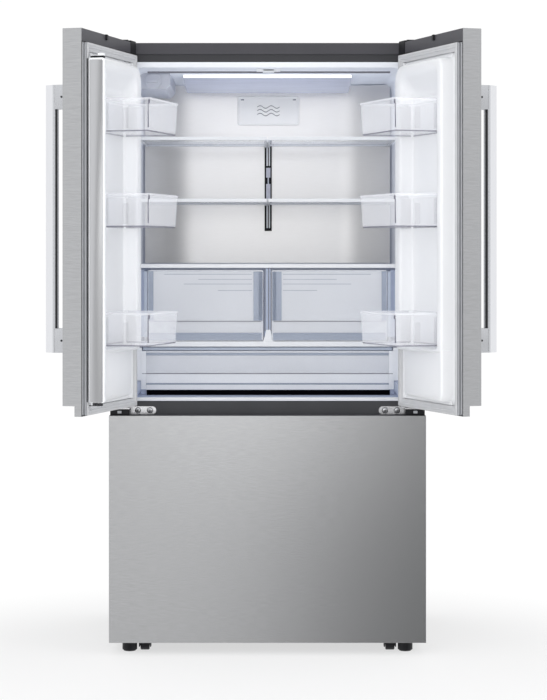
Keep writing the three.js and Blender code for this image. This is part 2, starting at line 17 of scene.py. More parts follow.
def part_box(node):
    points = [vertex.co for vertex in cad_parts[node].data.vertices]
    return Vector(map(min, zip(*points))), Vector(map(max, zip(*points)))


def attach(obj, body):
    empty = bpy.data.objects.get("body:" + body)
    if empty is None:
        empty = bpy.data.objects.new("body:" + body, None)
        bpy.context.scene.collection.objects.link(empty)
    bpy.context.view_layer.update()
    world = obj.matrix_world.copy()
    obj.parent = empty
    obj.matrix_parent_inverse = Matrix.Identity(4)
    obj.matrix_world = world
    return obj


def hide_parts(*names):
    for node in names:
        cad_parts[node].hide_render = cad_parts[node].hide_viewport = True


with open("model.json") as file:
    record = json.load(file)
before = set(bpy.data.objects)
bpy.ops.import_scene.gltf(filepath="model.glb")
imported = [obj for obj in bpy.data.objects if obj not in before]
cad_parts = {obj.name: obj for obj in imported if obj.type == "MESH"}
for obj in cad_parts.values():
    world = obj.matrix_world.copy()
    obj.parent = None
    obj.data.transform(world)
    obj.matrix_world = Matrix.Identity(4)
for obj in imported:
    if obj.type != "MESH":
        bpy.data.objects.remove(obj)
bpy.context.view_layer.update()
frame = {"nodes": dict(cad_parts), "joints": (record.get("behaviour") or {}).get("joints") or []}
scene = bpy.context.scene

MM = 0.001
SIDES = (("left", -1), ("right", 1))
LEVELS = ("upper", "middle", "lower")


def box_of(node):
    """Lowest and highest corner of a CAD node, in millimetres."""
    low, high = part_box(node)
    return low / MM, high / MM


HALF = box_of("cabinet_case")[1].x       # half of the cabinet's width

# A door's inner panel: distances from the cabinet's side, heights, and depths.
DYKE_OUTER = (64.5, 392.5)
DYKE_INNER = (106.5, 359.5)
BIN_SPACE = (893, 1660)
DYKE_FOOT, DYKE_CROWN = BIN_SPACE[0] - 13, 1683
RAMP_FOOT = 750
PANEL_DEPTH = 52.5                       # from the panel's back to its flange
DYKE_HEIGHT = 38.5                       # over the flange
RAMP_LOW = 0.22                          # the ramp's height by the hinge, as a share of the dyke's

CAMERA_BACK = 6.1105
CAMERA_HEIGHT = 1.142
CAMERA_LENS = 109.81
CAMERA_SHIFT = (0.0086, -0.1326)


# ---------------------------------------------------------------- materials

NOISE_SPAN = (0.3, 0.7)    # where most of a noise's values lie
ACROSS = (70, 70, 900)     # scratches run level
UPRIGHT = (900, 900, 70)   # scratches run up and down
COLD = (0.66, 0.74, 1.0)
PALE = (0.93, 0.95, 1.0)


def add(tree, kind, inputs, **settings):
    """Adds a shader node. inputs gives each socket a number, or another node's output to link to.
    settings are the node's own properties."""
    made = tree.nodes.new("ShaderNode" + kind)
    for key, value in settings.items():
        setattr(made, key, value)
    for key, value in inputs.items():
        if isinstance(value, bpy.types.NodeSocket):
            tree.links.new(value, made.inputs[key])
        else:
            made.inputs[key].default_value = value
    return made


def coordinates(tree, kind="Object"):
    return add(tree, "TexCoord", {}).outputs[kind]


def noise(tree, grain, detail=3.0):
    """Noise in the object's own coordinates. grain is its cells per metre, one number or three."""
    cells = grain if isinstance(grain, tuple) else (grain,) * 3
    scaled = add(tree, "Mapping", {"Vector": coordinates(tree), "Scale": cells}).outputs["Vector"]
    cloud = add(tree, "TexNoise", {"Vector": scaled, "Scale": 1.0, "Detail": detail})
    return cloud.outputs["Fac"]


def ranged(tree, value, to, span=(0, 1), smooth=False):
    """Maps a span of values to another."""
    ends = {"From Min": span[0], "From Max": span[1], "To Min": to[0], "To Max": to[1]}
    kind = "SMOOTHSTEP" if smooth else "LINEAR"
    return add(tree, "MapRange", {"Value": value, **ends}, interpolation_type=kind).outputs["Result"]


def finish(name, color, roughness, mottle=0.03, gloss_spread=0.05, cloud=9, grain=900, strength=0.1,
           depth=0.0001, veil=None, glow=None, **sockets):
    """A procedural surface: slow changes of tone and gloss, and a fine bump of its own grain.
    veil is the opacity of clear plastic seen squarely and edge on, and glow the colour and strength
    of light it gives off: a lamp's own light on the lamp's lens and lit edge, and painted light on
    every other surface. Sockets are the shader's own, named in lower case with _ for a space."""
    material = bpy.data.materials.new(name)
    material.use_nodes = True
    tree = material.node_tree
    shader = tree.nodes["Principled BSDF"]
    slow = ranged(tree, noise(tree, cloud), (0, 1), NOISE_SPAN)
    fine = noise(tree, grain, detail=2.0)
    dark = tuple(c * (1 - mottle) for c in color)
    light = tuple(min(1.0, c * (1 + mottle)) for c in color)
    tone = add(tree, "Mix", {"Factor": slow, "A": (*dark, 1), "B": (*light, 1)}, data_type="RGBA")
    gloss = ranged(tree, fine, (roughness - gloss_spread, roughness + gloss_spread), NOISE_SPAN)
    bump = add(tree, "Bump", {"Strength": strength, "Distance": depth, "Height": fine})
    tree.links.new(tone.outputs["Result"], shader.inputs["Base Color"])
    tree.links.new(gloss, shader.inputs["Roughness"])
    tree.links.new(bump.outputs["Normal"], shader.inputs["Normal"])
    if veil:
        facing = add(tree, "LayerWeight", {"Blend": 0.4}).outputs["Facing"]
        tree.links.new(ranged(tree, facing, veil), shader.inputs["Alpha"])
    if glow:
        sockets.update(emission_color=(*glow[0], 1), emission_strength=glow[1])
    for key, value in sockets.items():
        shader.inputs[key.replace("_", " ").title().replace("Ior", "IOR")].default_value = value
    return material


def brushed(name, color, roughness, grain, mottle=0.03, strength=0.10, metallic=1.0, **sockets):
    """Brushed sheet: long scratches along the axes whose grain number is small."""
    cloud, fine = tuple(g / 2 for g in grain), tuple(g * 2 for g in grain)
    return finish(name, color, roughness, mottle, 0.02, cloud, fine, strength, 0.00004,
                  metallic=metallic, **sockets)


def frosted(name, color, alpha, mottle=0.02, cloud=7):
    return finish(name, color, 0.25, mottle, cloud=cloud, grain=500, strength=0.05, alpha=alpha)


def paint_side_shade(material, start, end, share):
    """Paints shade into a material's colour, darker smoothly towards both sides, from one distance
    off the middle to another.
    """
    tree = material.node_tree
    color = tree.nodes["Principled BSDF"].inputs["Base Color"]
    across = add(tree, "SeparateXYZ", {"Vector": coordinates(tree)}).outputs["X"]
    away = add(tree, "Math", {0: across}, operation="ABSOLUTE").outputs["Value"]
    shade = ranged(tree, away, (1, share), (start, end), smooth=True)
    scale = add(tree, "VectorMath", {0: color.links[0].from_socket, "Scale": shade}, operation="SCALE")
    tree.links.new(scale.outputs["Vector"], color)


STEEL = brushed("door_steel", (0.60, 0.605, 0.615), 0.25, ACROSS, mottle=0.05, strength=0.13)
# The back panel's steel: a faint glow of painted light, and painted shade darkening its colour towards the
# curved sides.
LINER_STEEL = brushed("liner_steel", (0.94, 0.93, 0.925), 0.32, ACROSS, mottle=0.012, strength=0.04,
                      metallic=0.7, glow=((0.95, 0.94, 0.95), 0.04))
paint_side_shade(LINER_STEEL, 0.20, 0.35, 0.77)
STRIP_STEEL = brushed("strip_steel", (0.68, 0.685, 0.70), 0.32, UPRIGHT, mottle=0.02, strength=0.05)
BAR_STEEL = brushed("bar_steel", (0.72, 0.73, 0.755), 0.28, UPRIGHT, strength=0.06)
# A lighter copy of the bar steel: a painted highlight on the handle's sloped outer edge.
BAR_PAINTED_HIGHLIGHT = brushed("bar_steel_painted_highlight", (0.95, 0.955, 0.98), 0.30, UPRIGHT, mottle=0.015, strength=0.04)
POLISHED = finish("polished_plate", (0.80, 0.80, 0.82), 0.2, 0.05, cloud=60, grain=500, metallic=0.8)
ZINC = finish("zinc_plate", (0.72, 0.73, 0.75), 0.33, 0.08, cloud=60, grain=500, metallic=1.0)
GREY_PAINT = finish("grey_paint", (0.035, 0.035, 0.040), 0.45, 0.05, grain=420, strength=0.3,
                    depth=0.0002)
DARK_PAINT = finish("dark_paint", (0.05, 0.051, 0.057), 0.45, 0.06, grain=600, strength=0.2)
TRIM = finish("grey_trim", (0.056, 0.055, 0.064), 0.42, 0.06, grain=1100, strength=0.15)
BLACK = finish("black_plastic", (0.010, 0.010, 0.012), 0.42, 0.1, grain=1100, strength=0.2,
               specular_ior_level=0.25)
VOID = finish("unlit_black", (0.002, 0.002, 0.003), 0.9, 0.3, specular_ior_level=0.0)
FOAM = finish("foam", (0.30, 0.26, 0.18), 0.95, 0.12, cloud=40, strength=0.8, depth=0.0005)
# The liner white's faint glow is painted light.
LINER = finish("liner_white", (0.82, 0.84, 0.88), 0.33, 0.012, cloud=5, grain=260, strength=0.06,
               glow=(COLD, 0.055))
PANEL = finish("panel_white", (0.86, 0.87, 0.89), 0.35, 0.01, cloud=5, grain=260, strength=0.05)
WHITE = finish("moulded_white", (0.86, 0.875, 0.90), 0.30, 0.012, cloud=12, grain=800, strength=0.05)
COVER = finish("cover_white", (0.93, 0.92, 0.90), 0.35, 0.012, cloud=12, grain=800, strength=0.05)
# A bluish grey of painted shade on the white filter housing and cartridge.
HOUSING = finish("housing_white_painted_shade", (0.58, 0.60, 0.67), 0.35, 0.02, cloud=12, grain=800, strength=0.05)
# Two bluish greys of painted shade, each with a faint glow of painted light: the blocks beside the crispers
# and under the pantry, the strip under the lower shelf, the sheet on the liner's floor and the shelf
# divider.
PAINTED_SHADE_BLUE = finish("painted_shade_blue_plastic", (0.36, 0.41, 0.52), 0.4, 0.06, cloud=30, grain=400, glow=(COLD, 0.08))
PAINTED_SHADE_PALE = finish("painted_shade_pale_plastic", (0.45, 0.50, 0.59), 0.4, 0.04, cloud=30, grain=400,
                   glow=((0.72, 0.79, 1.0), 0.05))
RUBBER = finish("gasket_rubber", (0.57, 0.575, 0.59), 0.6, 0.03, cloud=30, strength=0.2)
# A darker copy of the gasket rubber: painted shade on the gasket's outer folds and on the grey ring round
# each door panel's flange. The pad on each hinge cover is in it too.
RUBBER_PAINTED_SHADE = finish("gasket_rubber_painted_shade", (0.36, 0.37, 0.39), 0.6, 0.05, cloud=30, strength=0.2)
SMOKE = finish("plastic_edge", (0.14, 0.135, 0.19), 0.2, 0.08, cloud=(9, 9, 60), grain=60,
               strength=0.05, alpha=0.7)
LADDER = finish("ladder_grey", (0.62, 0.63, 0.71), 0.4, 0.06, cloud=60, grain=600)
# Grey painted shade: the strip at the ceiling's step, the dark lines on the drawers and the divider, and
# the filter cover's clips.
SHADE = finish("painted_shade_grey", (0.20, 0.20, 0.23), 0.6, 0.05)
MARK = finish("printed_grey", (0.10, 0.10, 0.11), 0.5, 0.05)
# The clear plastics' faint glow is painted light that brightens the bins.
CLEAR = finish("clear_plastic", (0.92, 0.93, 0.97), 0.10, 0.02, 0.03, cloud=7, grain=60,
               strength=0.05, veil=(0.13, 0.34), glow=(PALE, 0.10))
CLEAR_EDGE = finish("clear_edge", (0.92, 0.93, 0.97), 0.14, 0.03, 0.04, cloud=30, grain=200,
                    strength=0.05, veil=(0.45, 0.75), glow=(PALE, 0.03))
FROSTED = frosted("frosted_plastic", (0.90, 0.92, 0.965), 0.62)
FROST_EDGE = frosted("frosted_edge", (0.90, 0.915, 0.95), 0.92)
# Two darker frosted tones: painted shadow under the pantry's lip and band and along the crisper's foot, and
# painted shade for the crisper front's side bands, faint lines and foot edge.
FROST_PAINTED_SHADOW = frosted("frosted_painted_shadow", (0.42, 0.47, 0.57), 0.8, 0.03, (9, 9, 60))
FROST_PAINTED_SHADE = frosted("frosted_painted_shade", (0.50, 0.56, 0.68), 0.45, 0.03, (60, 9, 9))
GLASS = finish("shelf_glass", (0.62, 0.66, 0.72), 0.05, 0.03, 0.02, cloud=4, grain=30,
               strength=0.02, alpha=0.45)
LENS = finish("lamp_lens", (0.50, 0.52, 0.62), 0.22, 0.05, cloud=(6, 60, 6), grain=(40, 900, 40),
              glow=((0.80, 0.84, 1.0), 0.03))
LIT = finish("lamp_lit_edge", (0.95, 0.95, 1.0), 0.3, 0.02, glow=((1.0, 0.99, 1.0), 1.1))


# ---------------------------------------------------------------- meshes

def rounded(a0, a1, b0, b1, radius, steps=5):
    """Rounded rectangle as (a, b) points, anticlockwise from the corner of high a and low b. radius
    is one number, or four for the corners high-low, high-high, low-high and low-low."""
    radii = radius if isinstance(radius, tuple) else (radius,) * 4
    limit = min(a1 - a0, b1 - b0) / 2 - 0.01
    radii = [max(0.01, min(r, limit)) for r in radii]
    corners = ((a1, b0, -1, 1), (a1, b1, -1, -1), (a0, b1, 1, -1), (a0, b0, 1, 1))
    points = []
    for k, (a, b, sa, sb) in enumerate(corners):
        r, start = radii[k], math.radians(90 * (k - 1))
        for i in range(steps + 1):
            turn = start + math.radians(90 * i / steps)
            points.append((a + sa * r + r * math.cos(turn), b + sb * r + r * math.sin(turn)))
    return points


def plate(low, high, y, inset, radius, least=1, steps=6):
    """Rounded outline of a box seen from the front, drawn in by inset, as points at depth y."""
    flat = rounded(low.x + inset, high.x - inset, low.z + inset, high.z - inset,
                   max(radius - inset, least), steps)
    return [(x, y, z) for x, z in flat]


class Shape:
    """Collects closed solids for one piece, in millimetres. A tag is the number of the material in
    build()."""

    def __init__(self):
        self.points, self.faces, self.tags = [], [], []

    def ring(self, points):
        start = len(self.points)
        self.points.extend([c * MM for c in p] for p in points)
        return list(range(start, len(self.points)))

    def face(self, corners, tag=0):
        self.faces.append(corners)
        self.tags.append(tag)

    def bridge(self, a, b, tag=0):
        n = len(a)
        for i in range(n):
            j = (i + 1) % n
            self.face([a[i], a[j], b[j], b[i]], tag)

    def loft(self, rings, tag=0, tags=None, ends=True):
        """Joins equal rings of points in turn, and closes both ends, or the last to the first."""
        made = [self.ring(r) for r in rings]
        for k in range(len(made) - 1):
            self.bridge(made[k], made[k + 1], tags[k] if tags else tag)
        if ends:
            self.face(made[0][::-1], tags[0] if tags else tag)
            self.face(made[-1], tags[-1] if tags else tag)
        else:
            self.bridge(made[-1], made[0], tag)

    def block(self, corner, opposite, tag=0):
        (x0, x1), (y0, y1), (z0, z1) = (sorted(ends) for ends in zip(corner, opposite))
        corners = ((x0, y0), (x1, y0), (x1, y1), (x0, y1))
        self.loft([[(x, y, z) for x, y in corners] for z in (z0, z1)], tag)

    def rod(self, centre, axis, profile, sides=24, tag=0):
        """Turned about an axis through centre, from (radius, distance along the axis) pairs."""
        axis = Vector(axis).normalized()
        side = axis.orthogonal().normalized()
        other = axis.cross(side)
        rings = []
        for radius, along in profile:
            rings.append([Vector(centre) + axis * along
                          + (side * math.cos(2 * math.pi * i / sides)
                             + other * math.sin(2 * math.pi * i / sides)) * radius
                          for i in range(sides)])
        self.loft(rings, tag)

    def prism(self, outline, place, tag=0):
        """An outline of flat points, swept between two distances by place(point, distance)."""
        self.loft([[place(p, end) for p in outline] for end in (0, 1)], tag)

    def tub(self, low, high, wall, radius, draft, fillet, rim, tags=(0, 0)):
        """Open-topped moulded box. rim is (overhang, height) of a lip round the top edge."""
        (x0, y0, z0), (x1, y1, z1) = low, high
        over, tall = rim
        body, edge = tags
        foot, inside, soft = over + draft, over + draft + wall, 0.6
        levels = [
            (foot + fillet, z0, body), (foot + fillet * 0.3, z0 + fillet * 0.3, body),
            (foot, z0 + fillet, body), (over, z1 - tall, edge), (0.5, z1 - tall, edge),
            (0, z1 - tall + 0.5, edge), (0, z1 - soft, edge), (soft, z1, edge),
            (over + wall - soft, z1, edge), (over + wall, z1 - soft, edge),
            (over + wall, z1 - tall, body), (inside, z0 + wall + fillet, body),
            (inside + fillet * 0.3, z0 + wall + fillet * 0.3, body), (inside + fillet, z0 + wall, body)]
        rings = []
        for inset, z, _ in levels:
            flat = rounded(x0 + inset, x1 - inset, y0 + inset, y1 - inset, max(radius - inset, 2))
            rings.append([(x, y, z) for x, y in flat])
        self.loft(rings, tags=[level[2] for level in levels])

    def build(self, name, body, *materials, stands_for=None, slot=None, place=None, bevel=0,
              segments=2, sharp=35):
        """Makes the piece, in metres. Edges get either a bevel or, past an angle, a sharp corner."""
        mesh = bpy.data.meshes.new(name)
        mesh.from_pydata(self.points, [], self.faces)
        for material in materials:
            mesh.materials.append(material)
        mesh.polygons.foreach_set("material_index", self.tags)
        solid = bmesh.new()
        solid.from_mesh(mesh)
        bmesh.ops.remove_doubles(solid, verts=solid.verts, dist=1e-7)
        bmesh.ops.recalc_face_normals(solid, faces=solid.faces)
        solid.to_mesh(mesh)
        solid.free()
        mesh.shade_smooth()
        if not bevel:
            mesh.set_sharp_from_angle(angle=math.radians(sharp))
        made = bpy.data.objects.new(name, mesh)
        scene.collection.objects.link(made)
        if place:
            made.matrix_world = place
        if bevel:
            round_edges(made, bevel, segments)
        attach(made, body)
        if stands_for:
            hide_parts(stands_for)


def round_edges(piece, width, segments=2):
    edges = piece.modifiers.new("rounded", "BEVEL")
    edges.width = width * MM
    edges.segments = segments
    edges.limit_method = "ANGLE"
    edges.angle_limit = math.radians(28)
    edges.harden_normals = True


def refine(node, material, width, segments=2):
    """Keeps a CAD node, with a finish and rounded edges."""
    piece = frame["nodes"][node]
    piece.data.materials.clear()
    piece.data.materials.append(material)
    weld = piece.modifiers.new("weld", "WELD")
    weld.merge_threshold = 1e-5
    if width:
        round_edges(piece, width, segments)


# ---------------------------------------------------------------- doors: where a closed piece goes

def swing(label):
    """Turns a piece drawn with its door closed to where the door stands at rest."""
    hinge = next(joint for joint in frame["joints"] if joint["name"] == f"{label}_door_hinge")
    pivot = Matrix.Translation(Vector(hinge["pos_m"]))
    turn = Matrix.Rotation(-math.radians(hinge["range_deg"][0]), 4, Vector(hinge["axis"]))
    return pivot @ turn @ pivot.inverted()


def closed_box(node, place):
    """Lowest and highest corner of a door's node with the door closed, in millimetres."""
    back = place.inverted()
    corners = [(back @ v.co) / MM for v in frame["nodes"][node].data.vertices]
    return (Vector(min(c[k] for c in corners) for k in range(3)),
            Vector(max(c[k] for c in corners) for k in range(3)))


def inner_panel(label, side, place):
    """Vacuum-formed inner panel on its foam: a flange, a raised dyke round the bins, and a ramp."""
    low, high = closed_box(f"{label}_door_panel", place)
    back, flange = low.y, low.y + PANEL_DEPTH
    step, step_back = low.z + 28, low.y + 34     # the cut-back over the finger space
    rim = 10
    edges = (HALF - abs(low.x if side < 0 else high.x), HALF - abs(high.x if side < 0 else low.x))

    def at(outline, y):
        return [(side * (HALF - d), y, z) for d, z in outline]

    def sheet(inset, z_low, hinge=0):
        return rounded(edges[0] + inset + hinge, edges[1] - inset, z_low + inset, high.z - inset, 1.5)

    def dyke(offset):
        radii = (16, 24, 50, 26)
        return rounded(DYKE_OUTER[0] - offset, DYKE_OUTER[1] + offset, DYKE_FOOT - offset,
                       DYKE_CROWN + offset, tuple(r + offset for r in radii), steps=8)

    def well(offset, drop):
        radii = (10, 22, 40, 10)
        return rounded(DYKE_INNER[0] - offset, DYKE_INNER[1] + offset, BIN_SPACE[0] - offset,
                       BIN_SPACE[1] + offset - drop, tuple(r + offset for r in radii), steps=8)

    def ramp(offset, share):
        """Outline of the ramp at a share of its height, which falls towards the hinge."""
        radii = (26, 4, 26, 30)
        outline = rounded(DYKE_OUTER[0] - offset, DYKE_OUTER[1] + offset, RAMP_FOOT - offset,
                          BIN_SPACE[0] - 2 + offset, tuple(r + offset for r in radii), steps=8)
        ring = []
        for d, z in outline:
            across = min(1, max(0, (d - DYKE_OUTER[0]) / (DYKE_OUTER[1] - DYKE_OUTER[0])))
            rise = share * (RAMP_LOW + (1 - RAMP_LOW) * across)
            ring.append((side * (HALF - d), flange + rise * DYKE_HEIGHT, z))
        return ring

    hinge_side = 8
    shape = Shape()
    shape.loft([at(sheet(0, step), back), at(sheet(0, step), step_back), at(sheet(0, low.z), step_back),
                at(sheet(0, low.z), flange - rim), at(sheet(0, low.z, hinge_side), flange - rim),
                at(sheet(0, low.z, hinge_side), flange - 1), at(sheet(1, low.z, hinge_side), flange)])
    # (distance outside the outline, share of the height)
    slope = [(9, -0.03), (8, 0.003), (5.5, 0.02), (3, 0.08), (1.6, 0.16), (0, 0.79), (-1.2, 0.90),
             (-3.5, 0.97), (-7, 1.0)]
    rings = [at(dyke(offset), flange + share * DYKE_HEIGHT) for offset, share in slope]
    # (distance inside the crest, share of the height, distance the top edge lies lower)
    inside = [(7, 1.0, 0), (3.5, 0.97, 3), (1.2, 0.90, 8), (0, 0.79, 14), (-3, 0.16, 44),
              (-4.6, 0.08, 49), (-7, 0.02, 54), (-10, 0.003, 60), (-11, -0.03, 61)]
    rings += [at(well(offset, drop), flange + share * DYKE_HEIGHT) for offset, share, drop in inside]
    shape.loft(rings, ends=False)
    shape.loft([ramp(offset, share) for offset, share in slope])
    # Painted shade round the flange: a black ring at its edge and a grey ring inside it.
    sunk, proud = -0.5, 0.4
    for start, end, tag in ((0.2, 2.0, 1), (2.3, 5.6, 2)):
        shape.loft([at(sheet(inset, low.z, hinge_side), flange + rise)
                    for inset, rise in ((start, sunk), (start, proud), (end, proud), (end, sunk))],
                   tag, ends=False)
    # Fillers between the dyke and the gasket.
    for d0, d1, z0, z1, rise in ((58.6, 67, 741, 1695, 9), (67.2, 392, 1684, 1695, 4),
                                 (67.2, 392, 741, 752, 6)):
        shape.block((side * (HALF - d0), flange + sunk, z0), (side * (HALF - d1), flange + rise, z1))
    shape.build(f"{label}_inner_panel", f"{label}_door", PANEL, BLACK, RUBBER_PAINTED_SHADE, place=place, sharp=45,
                stands_for=f"{label}_door_panel", slot="filled_panel")


def gasket(label, node, body, width, place=None):
    """Magnetic gasket round a rectangle: a foot, a folded bellows, a magnet strip and a wide lip."""
    low, high = closed_box(node, place or Matrix.Identity(4))
    tall = high.y - low.y
    # (distance from the outer edge in mm, share of the height)
    section = [(1.0, 0), (9, 0), (9, 0.14), (5.5, 0.20), (5.5, 0.42), (11, 0.46), (11, 0.56),
               (width - 1.0, 0.52), (width - 0.2, 0.60), (13.5, 0.80), (13, 0.96), (12.4, 1.0), (7.4, 1.0),
               (6.8, 0.93), (6.2, 1.0), (1.0, 1.0), (0, 0.94), (0, 0.90), (2.2, 0.88), (2.2, 0.82),
               (0, 0.80), (0, 0.48), (0.6, 0.44), (4.5, 0.42), (4.5, 0.20), (0.4, 0.16), (0.4, 0.05)]
    inner_steps = 16                         # the rest are the outer folds, painted darker as shade
    outer_steps = len(section) - 1 - inner_steps
    shape = Shape()
    shape.loft([plate(low, high, low.y + up * tall, inset, 3, 0.4, 3) for inset, up in section],
               tags=[0] * inner_steps + [1] * outer_steps, ends=False)
    shape.build(f"{label}_gasket", body, RUBBER, RUBBER_PAINTED_SHADE, place=place, sharp=50,
                stands_for=node, slot="gasket")


def door_bin(label, side, level, place):
    """Clear moulded bin: thin walls that lean out at the front, a rim, end ribs and dark edges."""
    node = f"{label}_{level}_bin"
    low, high = closed_box(node, place)
    wall = 2.4

    def ring(z, lean, inset):
        flat = rounded(low.x + inset, high.x - inset, low.y + inset, high.y - lean - inset,
                       (4, 6, 6, 4), steps=4)
        return [(x, y, low.z + z) for x, y in flat]

    tall = high.z - low.z
    # (height, how far the front leans in, distance inside the box), up the outside and down inside
    outer = [(0.2, 9, 1), (0, 8.4, 0.4), (0.8, 7.4, 0), (3.6, 6.4, 0), (14, 5, 0), (tall - 6, 0.8, 0),
             (tall - 5.4, 0, -0.8), (tall - 0.6, 0, -0.8), (tall, 0.4, -0.2)]
    inner = [(tall, 0.4, 2.0), (tall - 1.2, 0.6, 2.4), (14, 5, 2.4), (6, 6.6, 2.4), (3.4, 9.4, 2.6)]
    shape = Shape()
    shape.loft([ring(z, lean, inset) for z, lean, inset in outer + inner],
               tags=[0, 2, 2, 0, 0, 1, 1, 1, 1, 1, 0, 0, 0])
    free_end, far_end = (high.x, low.x) if side < 0 else (low.x, high.x)
    inward = -1 if free_end > far_end else 1
    # Two raised pads on the end wall, and a dark line down its front corner.
    for share, half, top in ((0.20, 9, 12), (0.56, 8, 26)):
        y = low.y + (high.y - low.y) * share
        shape.block((free_end + inward * (wall + 0.2), y - half, low.z + 8),
                    (free_end + inward * (wall + 1.6), y + half, high.z - top))
    x, y = free_end + inward * 2.6, high.y - 3.4
    for z0, z1, lean, thick in ((high.z - 16, high.z - 2, 0.4, 2.0),
                                (low.z + 10, high.z - 15, 2.6, 1.2)):
        shape.block((x - thick, y - lean - thick, z0), (x + thick, y - lean + thick, z1), 2)
    shape.build(node + "_tub", f"{label}_door", CLEAR, CLEAR_EDGE, SMOKE, place=place,
                stands_for=node, slot="clear_plastic", sharp=40)


def handle(label, side, place):
    """Bar on two posts. Its outer edge slopes back under a painted highlight, and a black strip of
    painted shade runs along its rear face.
    """
    low, high = closed_box(f"{label}_door_handle", place)
    near, far = sorted((HALF - abs(low.x), HALF - abs(high.x)))
    front, back = low.y, -28
    post = 66

    def swept(section, z0, z1, tags=()):
        """Sweeps a section of (d, y) points, its ends drawn in by a small round. tags pairs the
        number of a side of the section with its material."""
        middle = Vector((sum(p[0] for p in section), sum(p[1] for p in section))) / len(section)
        rings = []
        for z, inset in ((z0, 0.9), (z0 + 0.3, 0.3), (z0 + 0.9, 0), (z1 - 0.9, 0),
                         (z1 - 0.3, 0.3), (z1, 0.9)):
            ring = []
            for p in section:
                inward = (middle - Vector(p)).normalized() * inset
                ring.append((side * (HALF - p[0] - inward.x), p[1] + inward.y, z))
            rings.append(ring)
        first = len(shape.tags)
        shape.loft(rings)
        for k in range(len(rings) - 1):
            for i, tag in tags:
                shape.tags[first + k * len(section) + i] = tag

    shape = Shape()
    bar = [(near, front + 7), (near + 1.2, front + 3), (near + 4, front + 0.5), (near + 6, front),
           (far - 19, front), (far - 17, front + 0.6), (far - 15.6, front + 2.4),
           (far - 0.8, front + 24), (far, front + 27), (far, back - 1), (far - 1, back),
           (far - 2, back), (far - 18, back), (near + 1, back), (near, back - 1)]
    # The sloped outer edge is a painted highlight, and the rear face black painted shade.
    bright, dark = 2, 1
    swept(bar, low.z, high.z, ((4, bright), (5, bright), (6, bright), (7, bright), (11, dark)))
    for z0, z1 in ((low.z, low.z + post), (high.z - post, high.z)):
        swept([(near, back - 2), (far, back - 2), (far, high.y), (near, high.y)], z0, z1)
    shape.build(f"{label}_handle", f"{label}_door", BAR_STEEL, BLACK, BAR_PAINTED_HIGHLIGHT, place=place, sharp=30,
                stands_for=f"{label}_door_handle", slot="stainless_steel")

    holes = Shape()
    for z in (low.z + post / 2, high.z - post / 2):
        holes.rod((side * (HALF - far), -9.5, z), (side * -1, 0, 0),
                  [(2.4, -0.9), (2.8, -0.5), (2.8, 1.5), (2.4, 2.0)], sides=16)
    holes.build(f"{label}_set_screws", f"{label}_door", BLACK, place=place)


def cap_fittings_and_painted_shade(label, side, place):
    """Black end of the top cap at the hinge, a black strip of painted shadow under the cap beside it,
    and a small clip half way along it.
    """
    low, high = closed_box(f"{label}_door_cap", place)
    shape = Shape()
    for d0, d1, y0, y1, z0, z1 in ((9, 52, 20, 55.2, low.z - 4, high.z + 5),
                                   (52, 100, 46, 54.8, low.z - 4, low.z + 4),
                                   (250, 262, 44, 58.5, high.z - 15, high.z + 0.8)):
        shape.block((side * (HALF - d0), y0, z0), (side * (HALF - d1), y1, z1))
    shape.build(f"{label}_cap_fittings_and_painted_shade", f"{label}_door", BLACK, place=place, bevel=1.2)


def door(label, side):
    place = swing(label)
    refine(f"{label}_door_skin", STEEL, 0.5)
    refine(f"{label}_door_cap", TRIM, 0.8)
    inner_panel(label, side, place)
    gasket(f"{label}_door", f"{label}_door_gasket", f"{label}_door", 23, place)
    for level in LEVELS:
        door_bin(label, side, level, place)
    handle(label, side, place)
    cap_fittings_and_painted_shade(label, side, place)


# ---------------------------------------------------------------- cabinet

